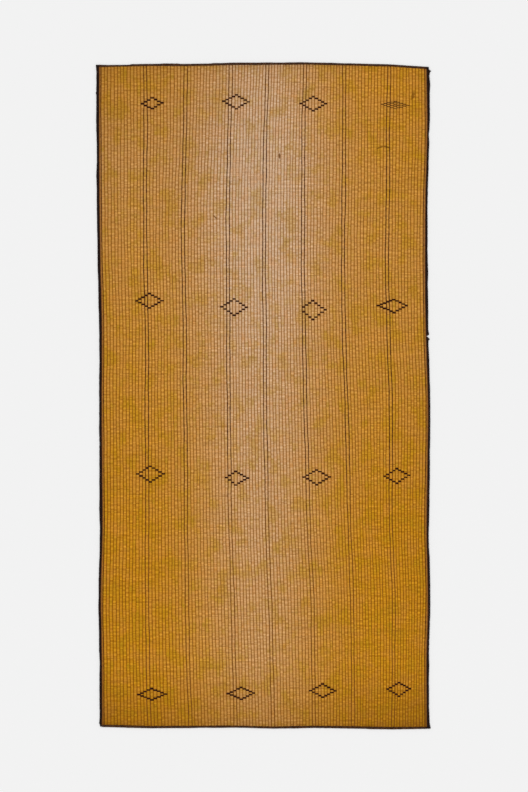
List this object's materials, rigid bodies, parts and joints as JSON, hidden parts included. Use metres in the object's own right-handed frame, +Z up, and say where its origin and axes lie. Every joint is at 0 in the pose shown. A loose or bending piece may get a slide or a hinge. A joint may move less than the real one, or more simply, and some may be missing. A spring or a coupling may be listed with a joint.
{
  "type": "reed and leather floor mat",
  "caption": "Long flat floor mat of fine crosswise reeds bound by lengthwise leather thongs, with raised ribs, small stepped diamonds and a dark leather edge binding.",
  "frame": {"origin": "on the ground, under the middle of the mat's outline", "axes": "+Z up from the ground to the face, +Y along the length to the upper end of the pattern, +X to the right side"},
  "size_m": [1.8102, 3.602, 0.0056],
  "materials": {
    "reed": "dry golden reeds, faded to a pale tan down the middle, bound with narrow brown leather thongs",
    "dark_leather": "worn black-brown goat leather"
  },
  "bodies": {
    "root": {"reeds": "reed", "binding_left": "dark_leather", "binding_right_upper": "dark_leather", "binding_right_lower": "dark_leather", "binding_top": "dark_leather", "binding_bottom": "dark_leather"}
  },
  "joints": []
}
